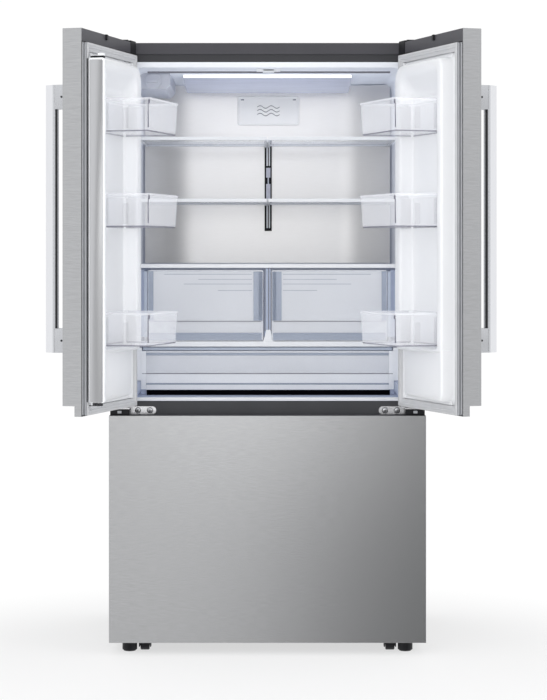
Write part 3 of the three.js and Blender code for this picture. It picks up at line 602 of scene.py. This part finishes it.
def fridge_liner():
    """Thermoformed liner: one shell from the front flange to the back, with round corners."""
    low, high = box_of("fridge_liner")
    wall = 3
    half, bottom, ceiling = 392, 731, 1690

    def ring(y, grow):
        radii = tuple(max(r + grow, 1) for r in (12, 30, 30, 12))
        flat = rounded(-half - grow, half + grow, bottom - grow, ceiling + grow, radii, steps=8)
        return [(x, y, z) for x, z in flat]

    front, back = low.y, high.y
    flange = [plate(low, high, front + y, inset, 2, 2, 8) for y, inset in ((wall, 0), (0.6, 0), (0, 0.6))]
    shape = Shape()
    shape.loft([ring(back, wall - 6), ring(back - 2, wall), ring(front + wall, wall), *flange,
                ring(front, 3), ring(front + 1, 1), ring(front + 4, 0), ring(back - wall - 8, 0),
                ring(back - wall - 2, -2.5), ring(back - wall, -8)])
    shape.build("fresh_food_liner", "cabinet", LINER, stands_for="fridge_liner", slot="white_liner")

    # A sill along the front, and a guide for the mullion under the ceiling, in two steps.
    fittings = Shape()
    fittings.block((-half - 1, front + 0.2, bottom - 1), (half + 1, front + 9, bottom + 5))
    for x0, x1, drop in ((-33, 38, 5), (-14, 20, 8)):
        fittings.block((x0, 119, ceiling - drop), (x1, 150, ceiling + 1))
    fittings.build("liner_fittings", "cabinet", WHITE, bevel=1.5, segments=3)

    # On each side: two rails under the pantry and two panels beside the crisper, bluish grey as
    # painted shade, and a white post beside the pantry.
    guides = Shape()
    for x0, x1, y0, y1, z0, z1, tag in ((377, 392.5, 82, 640, 743, 773, 0),
                                        (361, 376, 244, 640, 734, 749, 0),
                                        (367.6, 392.5, 250, 640, 905, 1104, 0),
                                        (357, 367.4, 238, 640, 905, 1100, 1),
                                        (373.5, 392.5, 238, 250, 775, 873, 2)):
        for side in (-1, 1):
            guides.block((side * x0, y0, z0), (side * x1, y1, z1), tag)
    # A strip of painted shade under the lower shelf, and a sheet of painted shade on the liner's floor.
    guides.block((-371, 247, 864.4), (371, 256, 873.5), 1)
    guides.block((-390, 96, 730.8), (390, 234, 732.4))
    guides.build("drawer_guides_and_painted_shade", "cabinet", PAINTED_SHADE_BLUE, PAINTED_SHADE_PALE, WHITE, bevel=1.2, segments=3)

    # A grey strip under the ceiling: painted shade where the ceiling steps.
    painted_shade = Shape()
    painted_shade.block((-354, 188, ceiling - 4.5), (362, 200, ceiling + 0.5))
    painted_shade.build("ceiling_painted_shade", "cabinet", SHADE, bevel=0.8)


def back_panel():
    """Steel sheet behind the shelves, whose sides curve forward."""
    low, high = box_of("back_panel")
    reach, flat = high.x, 225
    thick = 2
    bulge = high.y - thick - low.y
    steps = 64
    front = []
    for i in range(steps + 1):
        x = -reach + 2 * reach * i / steps
        out = max(0.0, abs(x) - flat) / (reach - flat)
        front.append((x, high.y - bulge * out * out))
    outline = front + [(x, y - thick) for x, y in reversed(front)]
    shape = Shape()
    shape.prism(outline, lambda p, end: (p[0], p[1], low.z if end == 0 else high.z))
    shape.build("liner_back_panel", "cabinet", LINER_STEEL, stands_for="back_panel",
                slot="stainless_steel", sharp=30)


def shelf_ladder():
    """Slotted upright that the shelf hooks hang in, with a clip at each pair of shelves."""
    low, high = box_of("shelf_ladder")
    middle = 2.5                             # it hangs a little right of the centre plane
    shape = Shape()
    shape.block((low.x + 1, low.y + 1, low.z), (high.x + middle + 1, high.y, high.z), 1)
    strips, plate, neck = ((-5.6, -1.6), (1.6, 5.6)), ((-6.8, 6.8),), ((-2, 2),)
    for z0, z1, across in ((1234, 1312, strips), (1322, 1374, plate), (1374, 1394, neck),
                           (1394, 1425, plate), (1431, high.z, strips)):
        for x0, x1 in across:
            shape.block((x0 + middle, low.y, z0), (x1 + middle, low.y + 4, z1),
                        2 if across == strips else 0)
    for z0, z1 in ((1308, 1326), (1503, 1517)):
        for x0, x1 in ((-14, -1.2), (1.2, 14)):
            shape.block((x0 + middle, low.y - 8, z0), (x1 + middle, low.y - 1, z1), 2)
    shape.build("slotted_ladder", "cabinet", LADDER, BLACK, WHITE, bevel=0.8,
                stands_for="shelf_ladder", slot="galvanised_steel")


def air_filter_cover():
    """Snap-on cover with a raised edge, two clips and a mark of three waves. It is drawn a little
    right of its CAD node."""
    low, high = box_of("air_filter_cover")
    low.x, high.x = low.x + 2, high.x + 4
    front = low.y + 2.5
    width, height = high.x - low.x, high.z - low.z
    centre = (low.x + high.x) / 2

    shape = Shape()
    shape.loft([plate(low, high, y, inset, 7)
                for inset, y in ((0, high.y), (0, front + 2), (0.6, front + 0.6), (2, front), (4, front),
                                 (5.5, front + 0.9), (9, front + 1.1))])
    shape.build("filter_cover_plate", "cabinet", COVER, stands_for="air_filter_cover",
                slot="white_plastic", sharp=50)

    clips = Shape()
    for side in (-1, 1):
        x = centre + side * width * 0.42
        clips.block((x - 5, front - 0.4, high.z - 13), (x + 5, front + 2, high.z - 9.5))
    clips.build("filter_cover_clips", "cabinet", SHADE, bevel=0.8)

    mark = Shape()
    steps, length, rise, thick = 36, width * 0.36, height * 0.045, 1.1
    for row in (-1, 0, 1):
        middle = (low.z + high.z) / 2 + row * height * 0.13
        wave = []
        for i in range(steps + 1):
            x = centre + length * (i / steps - 0.5)
            wave.append((x, middle + rise * math.sin(4 * math.pi * i / steps)))
        band = [(x, z + thick) for x, z in wave] + [(x, z - thick) for x, z in reversed(wave)]
        mark.prism(band, lambda p, end: (p[0], front + (0.7 if end == 0 else 1.5), p[1]))
    mark.build("filter_cover_mark", "cabinet", MARK)


def lamp():
    """Ceiling lamp: a lit front edge and a wide bluish lens that slopes down to the back."""
    low, high = box_of("lamp_lens")
    depth, top = 226, 32.6
    # (distance behind the front edge, height)
    section = [(0, top), (0, 28), (3, 26), (8, 24.5), (110, 8), (200, -5), (213, -6.5), (222, -5),
               (depth, -1), (depth, top)]
    shape = Shape()
    rings = []
    for inset, x in ((10, low.x), (3, low.x + 3), (0, low.x + 9), (0, high.x - 9),
                     (3, high.x - 3), (10, high.x)):
        rings.append([(x, low.y + min(max(y, inset), depth - inset), low.z + max(z, inset - 7))
                      for y, z in section])
    shape.loft(rings)
    for i in range(len(rings) - 1):
        for edge in (0, 1, 2):
            shape.tags[i * len(section) + edge] = 1
    shape.build("ceiling_lamp", "cabinet", LENS, LIT, stands_for="lamp_lens", slot="lamp_lens",
                sharp=25)


def water_filter():
    refine("filter_housing", HOUSING, 3, 3)
    refine("filter_cartridge", HOUSING, 0.8)


def shelf(label, side, level):
    """Cantilever shelf: a glass plate with a white front trim, side rails and a rear bar."""
    node = f"{label}_{level}_shelf"
    low, high = box_of(node)
    inner, outer = sorted((low.x, high.x), key=abs)
    trim, rail, bar, gap = 14, 4, 20, 0.2
    front, rear = low.y + trim + gap, 622
    start, end = inner + side * (rail + gap), outer - side * (rail + gap)
    shape = Shape()
    # Front trim, side rails, glass, rear bar and hook.
    for x0, x1, y0, y1, z0, z1, tag in ((inner, outer, low.y, low.y + trim, 1, 11, 0),
                                        (inner, inner + side * rail, front, rear, 0, 10, 0),
                                        (outer - side * rail, outer, front, rear, 0, 10, 0),
                                        (start, end, front, rear - bar - gap, 5, 9, 1),
                                        (start, end, rear - bar, rear, 2, 16, 2),
                                        (inner, inner + side * 6, rear + gap, high.y, 0, 12, 0)):
        shape.block((x0, y0, low.z + z0), (x1, y1, low.z + z1), tag)
    shape.build(node + "_glass", "cabinet", WHITE, GLASS, FROSTED, bevel=1.2, segments=3,
                stands_for=node, slot="shelf_glass")


def crisper_cover():
    """Glass plate over the crispers, in a white frame with a frosted rear bar."""
    low, high = box_of("crisper_cover")
    shape = Shape()
    bar, gap = 14, 0.2
    shape.block(low, (high.x, low.y + bar, high.z))
    shape.block((low.x, high.y - bar, low.z), high, 2)
    for x0, x1 in ((low.x, low.x + bar), (high.x - bar, high.x)):
        shape.block((x0, low.y + bar + gap, low.z), (x1, high.y - bar - gap, high.z))
    shape.block((low.x + bar + gap, low.y + bar + gap, low.z + 4),
                (high.x - bar - gap, high.y - bar - gap, low.z + 8), 1)
    shape.build("crisper_cover_glass", "cabinet", WHITE, GLASS, FROSTED, bevel=1.5, segments=3,
                stands_for="crisper_cover", slot="shelf_glass")


def lower_shelf():
    """White shelf under the crispers, with the divider between them and the side guides."""
    low, high = box_of("lower_shelf")
    floor, back = low.z + 16, 640
    shape = Shape()
    shape.block(low, (high.x, high.y, floor))
    # The divider in a bluish grey of painted shade, its three dark lines of painted shade and its flared
    # foot.
    shape.block((-9, low.y + 3, floor), (11, back, high.z - 1), 2)
    for x0, x1 in ((-8, -5.6), (2.2, 5), (9.2, 11.6)):
        shape.block((x0, low.y + 2, floor + 30), (x1, back, high.z), 1)
    middle = 2.5
    rings = []
    for rise, half in ((-2, 17), (6, 14), (16, 10), (34, 6.5)):
        rings.append([(middle + x * half, low.y + y, floor + rise)
                      for x, y in ((-1, 0.5), (1, 0.5), (1, 12), (-1, 12))])
    shape.loft(rings)
    for side in (-1, 1):
        shape.block((side * 361, 262, floor), (side * 367, back, 1000))
    shape.build("crisper_shelf", "cabinet", WHITE, SHADE, PAINTED_SHADE_BLUE, bevel=0.8,
                stands_for="lower_shelf", slot="white_plastic")


def crisper(label):
    """Clear drawer: a drafted tub behind a front with a raised edge and a lower band of painted shade."""
    node = f"{label}_crisper"
    low, high = box_of(node)
    front = low.y + 5
    shape = Shape()
    shape.tub((low.x + 2, front + 1, low.z + 1.5), (high.x - 2, high.y, high.z - 6),
              2.5, 14, draft=4, fillet=9, rim=(2, 6), tags=(0, 1))
    shape.loft([plate(low, high, y, inset, 6)
                for inset, y in ((1.5, front + 0.8), (0, front - 0.6), (0, low.y + 1.4), (1.2, low.y),
                                 (4, low.y), (5.5, low.y + 1.2))])
    line = low.z + 57
    inner, outer = sorted((low.x, high.x), key=abs)
    away = 1 if inner > 0 else -1
    # Bands of painted shade down the front's sides: two over each other at the divider, one at the wall.
    for x0, x1, top in ((inner + away * 2, inner + away * 14, 5), (inner + away * 2, inner + away * 30, 5),
                        (outer - away * 1, outer - away * 17, 3)):
        shape.block((x0, low.y - 0.3, line + 3), (x1, low.y + 0.6, high.z - top), 4)
    # Faint lines, for what shows through the front.
    start, width, thin = inner + away * 34, 290, 1.6
    for drop, reach in ((12, 0.9), (27, 0.55), (41, 0.7), (60, 0.35)):
        shape.block((start, low.y + 0.2, high.z - drop - thin),
                    (start + away * reach * width, low.y + 1.9, high.z - drop), 4)
    # A dark line of painted shade across the front, and along its foot a band of painted shade with a paler
    # edge.
    shape.block((low.x + 6, low.y, line), (high.x - 6, low.y + 1.6, line + 1.8), 2)
    shape.block((low.x + 5, low.y - 0.2, low.z + 2), (high.x - 5, low.y + 0.9, low.z + 21), 3)
    shape.block((low.x + 5, low.y - 0.6, low.z + 19), (high.x - 5, low.y + 0.4, low.z + 24), 4)
    shape.build(node + "_drawer", f"{label}_crisper_drawer", FROSTED, FROST_EDGE, SHADE, FROST_PAINTED_SHADOW,
                FROST_PAINTED_SHADE, stands_for=node, slot="clear_plastic")


def pantry():
    """Wide drawer: a frosted tub behind a front with thick sides, a pane under a painted shadow and a pale
    foot.
    """
    low, high = box_of("pantry_drawer")
    post, lip, gap = 15, 5, 0.2
    left, right = low.x - 4, high.x + 4
    start, end = left + post + gap, right - post - gap
    line, step = 796, 766                    # heights of the dark line and of the step under it
    shape = Shape()
    shape.tub((low.x, low.y + 4, low.z), high, 3, 14, draft=3, fillet=14, rim=(3, 8), tags=(0, 1))
    # Side posts, lip, its painted shadow, pane, line, band, its painted shadow and foot.
    for x0, x1, z0, z1, y, tag in ((left, left + post, low.z + 1, high.z, 0, 4),
                                   (right - post, right, low.z + 1, high.z, 0, 4),
                                   (start, end, high.z - lip, high.z, 0, 0),
                                   (start, end, high.z - 13, high.z - lip - gap, 2, 3),
                                   (start, end, line + 1, high.z - 13.2, 1, 0),
                                   (left + 3, right - 3, line - 1, line + 0.8, -0.1, 2),
                                   (start, end, step + 2, line - 1.2, 0.6, 1),
                                   (start, end, step - 3, step + 1.8, 1.2, 3),
                                   (start, end, low.z, step - 3.2, 0, 1)):
        shape.block((x0, low.y + y, z0), (x1, low.y + y + 3, z1), tag)
    shape.build("pantry_tub", "pantry", FROSTED, FROST_EDGE, SHADE, FROST_PAINTED_SHADOW, WHITE, bevel=0.8,
                stands_for="pantry_drawer", slot="clear_plastic")

    # The unlit gap under the drawer, drawn as a black block of painted shade.
    painted_gap_shade = Shape()
    painted_gap_shade.block((-359, low.y + 1, 732), (364, low.y + 5, 747.5))
    painted_gap_shade.build("pantry_painted_gap_shade", "cabinet", VOID, bevel=0.8)


def cabinet():
    for node, material, width in (("cabinet_case", GREY_PAINT, 0.5), ("insulation", FOAM, 0),
                                  ("rear_cover", ZINC, 0.4), ("base_plate", DARK_PAINT, 0.6),
                                  ("centre_rail", DARK_PAINT, 1.5), ("top_trim", TRIM, 1.0),
                                  ("rear_rollers", BLACK, 0.5)):
        refine(node, material, width)
    fridge_liner()
    back_panel()
    shelf_ladder()
    air_filter_cover()
    lamp()
    water_filter()
    crisper_cover()
    lower_shelf()
    pantry()
    for label, side in SIDES:
        refine(f"{label}_top_hinge", BLACK, 1.5, 3)
        refine(f"{label}_centre_hinge", POLISHED, 0.6)
        refine(f"{label}_leveling_foot", BLACK, 1.5)
        refine(f"{label}_front_roller", BLACK, 0.5)
        refine(f"{label}_cabinet_rail", ZINC, 0.8)
        refine(f"{label}_middle_rail", ZINC, 0.8)
        crisper(label)
        for level in ("upper", "middle"):
            shelf(label, side, level)
    hinge_details()


def hinge_details():
    """Cross-recessed screws on the centre hinges, and a black cover round each hinge's arm."""
    for label, side in SIDES:
        low, high = box_of(f"{label}_centre_hinge")
        z = low.z + 11.5
        shape = Shape()
        for x in (340, 375):
            centre = Vector((side * x, 64.4, z))
            for profile, sides, tag in (
                    ([(7.6, -0.6), (7.6, 0.4), (6.6, 1.5), (4.2, 2.2), (0.8, 2.4)], 24, 0),
                    ([(8.6, -0.8), (8.6, 0.2), (7.8, 0.3)], 24, 1),
                    ([(3.4, 1.6), (3.4, 2.6), (2.6, 3.0)], 16, 0)):
                shape.rod(centre, (0, -1, 0), profile, sides, tag)
            for a, b in ((3.0, 0.6), (0.6, 3.0)):
                shape.block((centre.x - a, centre.y - 3.3, z - b), (centre.x + a, centre.y - 2.4, z + b), 1)
        shape.build(f"{label}_hinge_screws", "cabinet", POLISHED, BLACK, sharp=50)

        cover = Shape()
        cover.block((side * 396, 8, 689.5), (side * 451, 66, 706))
        cover.block((side * 418, 5, 694), (side * 430, 30, 702), 1)
        cover.build(f"{label}_hinge_cover", "cabinet", BLACK, RUBBER_PAINTED_SHADE, bevel=2, segments=3)


def mullion():
    """Folding mullion: white body, steel strip, a dark grooved foot and a guide block on top."""
    place = swing("left")
    low, high = closed_box("mullion_body", place)
    bottom, top = low.z + 8, high.z - 8
    near, far = high.x, low.x
    shape = Shape()
    shape.loft([[(x, y, z) for y, z in rounded(low.y + inset, high.y - inset, bottom + inset,
                                               top - inset, 7 - inset, 6)]
                for x, inset in ((far, 3), (far + 1, 1), (far + 3, 0),
                                 (near - 1.6, 0), (near - 0.5, 0.4), (near, 1.6))])
    shape.block((far + 3, low.y + 25, top + 5), (near - 3, high.y - 3, top + 12))
    shape.build("mullion_shell", "mullion", WHITE, place=place, stands_for="mullion_body",
                slot="white_plastic", sharp=40)

    strip = Shape()
    strip.loft([[(near + x, y, z)
                 for y, z in rounded(low.y + 3.4 + inset, high.y - 4.6 - inset,
                                     bottom + 1.5 + inset, top - 5 - inset, 4)]
                for x, inset in ((-0.8, 0), (0.9, 0), (1.3, 0.4))])
    strip.build("mullion_strip", "mullion", STRIP_STEEL, place=place, stands_for="mullion_face",
                slot="stainless_steel", sharp=40)

    dark = Shape()
    dark.block((far + 3, low.y + 5, top - 1), (near - 1, high.y - 3, top + 5))
    dark.block((far + 3, low.y + 11, low.z), (near - 1.5, high.y - 9, bottom + 2))
    for i in range(6):
        y = low.y + 12.5 + 4.2 * i
        dark.block((near - 2, y, low.z + 0.6), (near + 0.4, y + 1.9, bottom + 1.6), 1)
    dark.build("mullion_ends", "mullion", BLACK, DARK_PAINT, place=place, bevel=0.4)

    # A black strip on the left door by the mullion: painted shade in the gap between the gasket and the
    # mullion.
    painted_gasket_shade = Shape()
    painted_gasket_shade.block((near + 2.6, low.y - 4.4, bottom + 2), (near + 4, low.y - 0.8, top - 2))
    painted_gasket_shade.build("mullion_painted_gasket_shade", "left_door", BLACK, place=place, bevel=0.4)


def freezer():
    """Drawer front, basket and tray."""
    refine("freezer_liner", LINER, 0.5)
    refine("drawer_skin", STEEL, 0.5)
    refine("drawer_panel", LINER, 3, 3)
    refine("drawer_cap", TRIM, 0.8)
    gasket("drawer", "drawer_gasket", "freezer_drawer", 15)
    for node, body, name in (("freezer_basket", "freezer_drawer", "basket_tub"),
                             ("freezer_tray", "upper_tray", "tray_tub")):
        low, high = box_of(node)
        shape = Shape()
        shape.tub(low, high, 2.5, 20, draft=5, fillet=12, rim=(4, 10))
        shape.build(name, body, WHITE, stands_for=node, slot="white_plastic")


# ---------------------------------------------------------------- stage, light and camera

def floor():
    """Pale seamless floor: it takes soft shadows near the object, and turns plain white beyond."""
    mesh = bpy.data.meshes.new("floor")
    reach = 40.0
    mesh.from_pydata([(-reach, -reach, 0), (reach, -reach, 0), (reach, reach, 0), (-reach, reach, 0)],
                     [], [(0, 1, 2, 3)])
    sheet = bpy.data.objects.new("floor", mesh)
    scene.collection.objects.link(sheet)
    material = bpy.data.materials.new("floor_white")
    material.use_nodes = True
    tree = material.node_tree
    shader = tree.nodes["Principled BSDF"]
    shader.inputs["Base Color"].default_value = (0.88, 0.88, 0.88, 1)
    shader.inputs["Roughness"].default_value = 0.9
    shader.inputs["Specular IOR Level"].default_value = 0.1
    far = add(tree, "VectorMath", {0: coordinates(tree)}, operation="LENGTH").outputs["Value"]
    fade = ranged(tree, far, (0.62, 1), (0.7, 1.6), smooth=True)
    glow = add(tree, "Emission", {"Strength": 1.02}).outputs["Emission"]
    mix = add(tree, "MixShader", {"Fac": fade, 1: shader.outputs["BSDF"], 2: glow})
    tree.links.new(mix.outputs["Shader"], tree.nodes["Material Output"].inputs["Surface"])
    mesh.materials.append(material)
    sheet.visible_glossy = False


def softbox(name, place, target, size, radiance, color=(1, 1, 1), seen_by="diffuse"):
    """A rectangular light of a given radiance, which only one kind of ray meets: diffuse or glossy."""
    data = bpy.data.lights.new(name, "AREA")
    data.shape = "RECTANGLE"
    data.size, data.size_y = size
    data.energy = radiance * math.pi * size[0] * size[1]
    data.color = color
    box = bpy.data.objects.new(name, data)
    box.location = place
    box.rotation_euler = (Vector(target) - Vector(place)).to_track_quat("-Z", "Y").to_euler()
    box.visible_camera = False
    box.visible_transmission = False
    box.visible_diffuse = seen_by == "diffuse"
    box.visible_glossy = seen_by == "glossy"
    scene.collection.objects.link(box)


def sky():
    """White to the camera. To everything else a bright studio, dark behind the photographer."""
    world = bpy.data.worlds.new("studio")
    scene.world = world
    world.use_nodes = True
    tree = world.node_tree
    tree.nodes.clear()
    behind = Vector((0.10, -0.98, -0.16)).normalized()
    lean = add(tree, "VectorMath", {0: coordinates(tree, "Generated"), 1: behind}, operation="DOT_PRODUCT")
    bright = ranged(tree, lean.outputs["Value"], (0.86, 0.14), (0.72, 0.98), smooth=True)
    studio = add(tree, "Background", {"Color": (0.985, 0.99, 1, 1), "Strength": bright})
    plain = add(tree, "Background", {"Color": (1, 1, 1, 1), "Strength": 1.02})
    seen = add(tree, "LightPath", {}).outputs["Is Camera Ray"]
    mix = add(tree, "MixShader", {"Fac": seen, 1: studio.outputs["Background"],
                                  2: plain.outputs["Background"]})
    add(tree, "OutputWorld", {"Surface": mix.outputs["Shader"]})


def lights():
    """Steel mirrors one large card left of the lens; the fills light only matt surfaces."""
    sky()
    softbox("steel_card", (-0.86, -6.4, -0.10), (-0.2, 0, 0.3), (2.1, 4.0), 0.66, seen_by="glossy")
    softbox("steel_glint", (0.15, -6.3, 0.50), (0, 0, 0.6), (1.2, 1.2), 0.60, seen_by="glossy")
    softbox("panel_card", (0.0, -6.5, 1.58), (0, 0.6, 1.4), (2.4, 1.3), 1.35, seen_by="glossy")
    softbox("front_fill", (0.0, -6.6, 1.3), (0, 0, 1.2), (3.0, 2.4), 3.2)
    softbox("high_fill", (-1.2, -4.2, 3.2), (0, 0, 1.0), (2.4, 1.6), 1.8)
    softbox("right_fill", (3.0, -2.4, 1.7), (-0.5, -0.2, 1.2), (1.6, 2.0), 2.7)
    softbox("left_fill", (-3.0, -2.4, 1.7), (0.5, -0.2, 1.2), (1.6, 2.0), 1.6)
    softbox("cabinet_lamp", (0, 0.38, 1.630), (0, 0.38, 0), (0.48, 0.20), 3.8, (0.98, 0.98, 1.0))


def camera():
    data = bpy.data.cameras.new("camera")
    data.sensor_width = 36
    data.lens = CAMERA_LENS
    data.shift_x, data.shift_y = CAMERA_SHIFT
    data.clip_start, data.clip_end = 0.1, 100
    viewer = bpy.data.objects.new("camera", data)
    viewer.location = (0, -CAMERA_BACK, CAMERA_HEIGHT)
    viewer.rotation_euler = (math.radians(90), 0, 0)
    scene.collection.objects.link(viewer)
    bpy.context.scene.camera = viewer
    scene.view_settings.view_transform = "Standard"


camera()
floor()
lights()
cabinet()
mullion()
freezer()
for label, side in SIDES:
    door(label, side)
